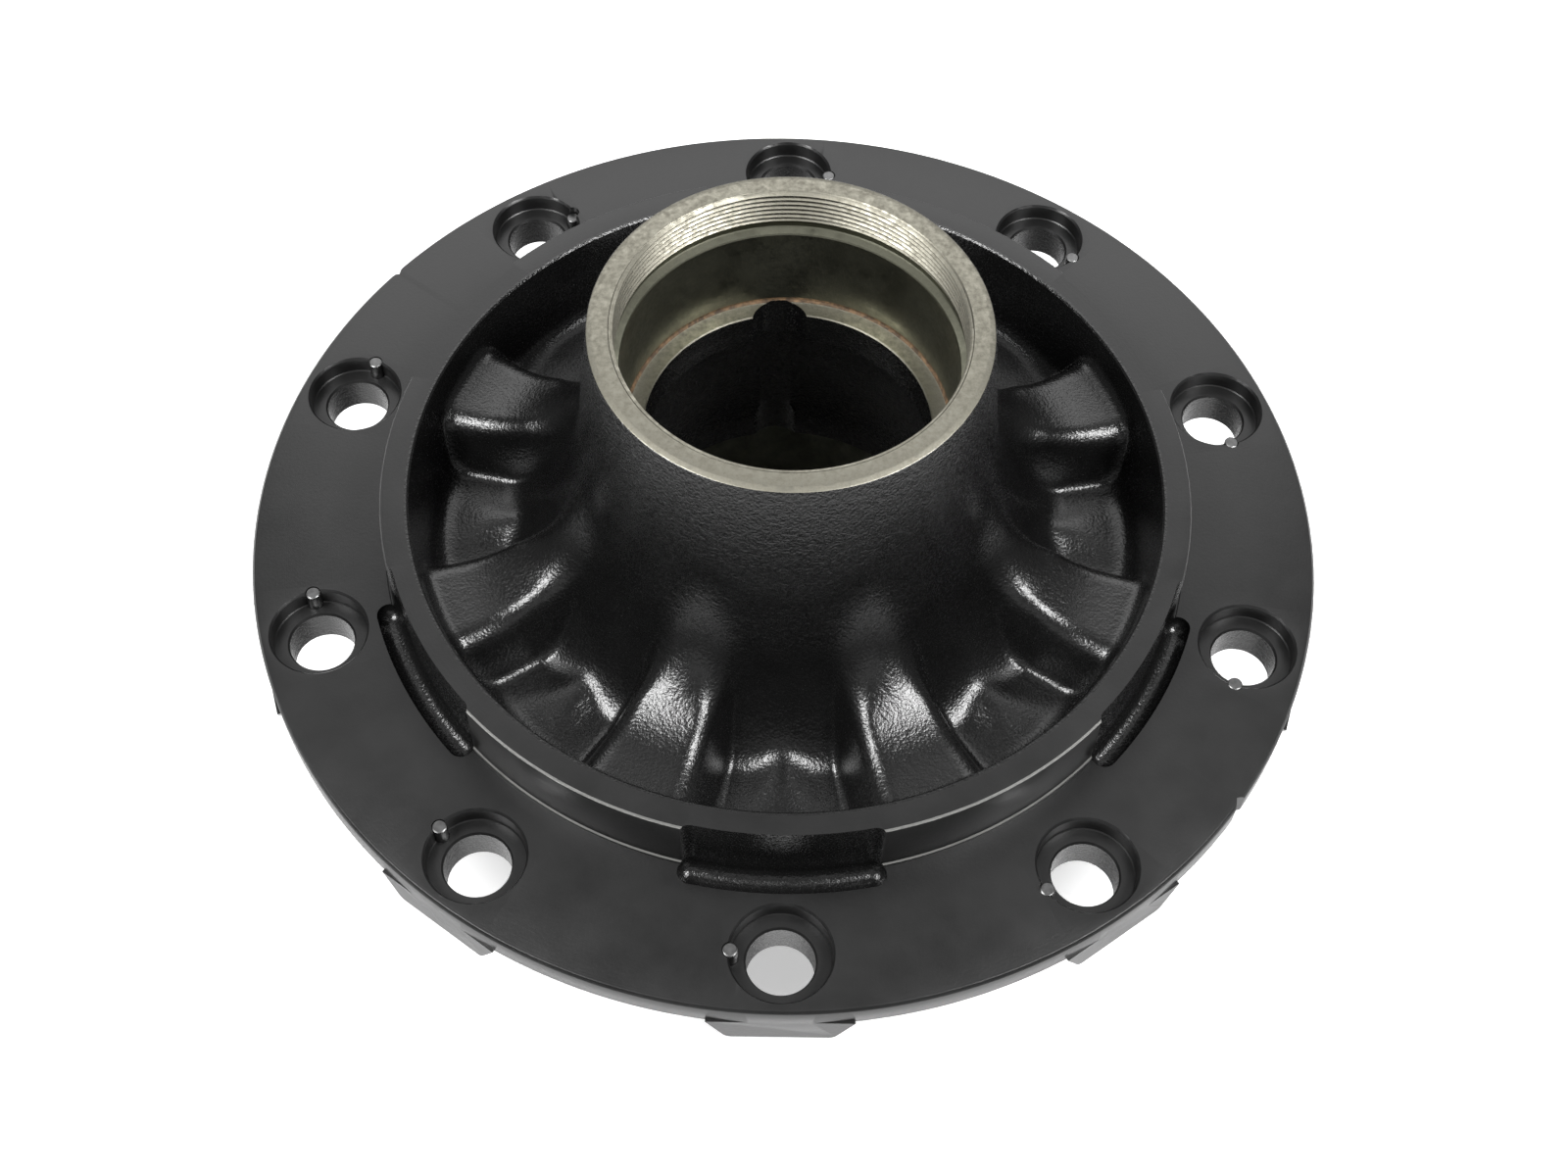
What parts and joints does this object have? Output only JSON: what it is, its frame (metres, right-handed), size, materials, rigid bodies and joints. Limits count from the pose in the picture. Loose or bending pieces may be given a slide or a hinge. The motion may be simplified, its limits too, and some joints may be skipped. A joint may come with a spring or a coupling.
{
  "type": "wheel hub",
  "caption": "Black cast iron wheel hub of a heavy trailer, machined flange with stud holes, ribbed bowl and threaded open neck.",
  "frame": {"origin": "on the wheel's axis, in the face of the flange that the wheel sits on", "axes": "+Z along the wheel's axis, outboard towards the threaded neck; +X is a direction half way between two stud holes"},
  "size_m": [0.3754, 0.3754, 0.178],
  "materials": {
    "hub_iron": "satin",
    "pin_steel": "satin"
  },
  "bodies": {
    "root": {"hub_casting": "hub_iron", "stop_pin_01": "pin_steel", "stop_pin_02": "pin_steel", "stop_pin_03": "pin_steel", "stop_pin_04": "pin_steel", "stop_pin_05": "pin_steel", "stop_pin_06": "pin_steel", "stop_pin_07": "pin_steel", "stop_pin_08": "pin_steel", "stop_pin_09": "pin_steel", "stop_pin_10": "pin_steel"}
  },
  "joints": []
}
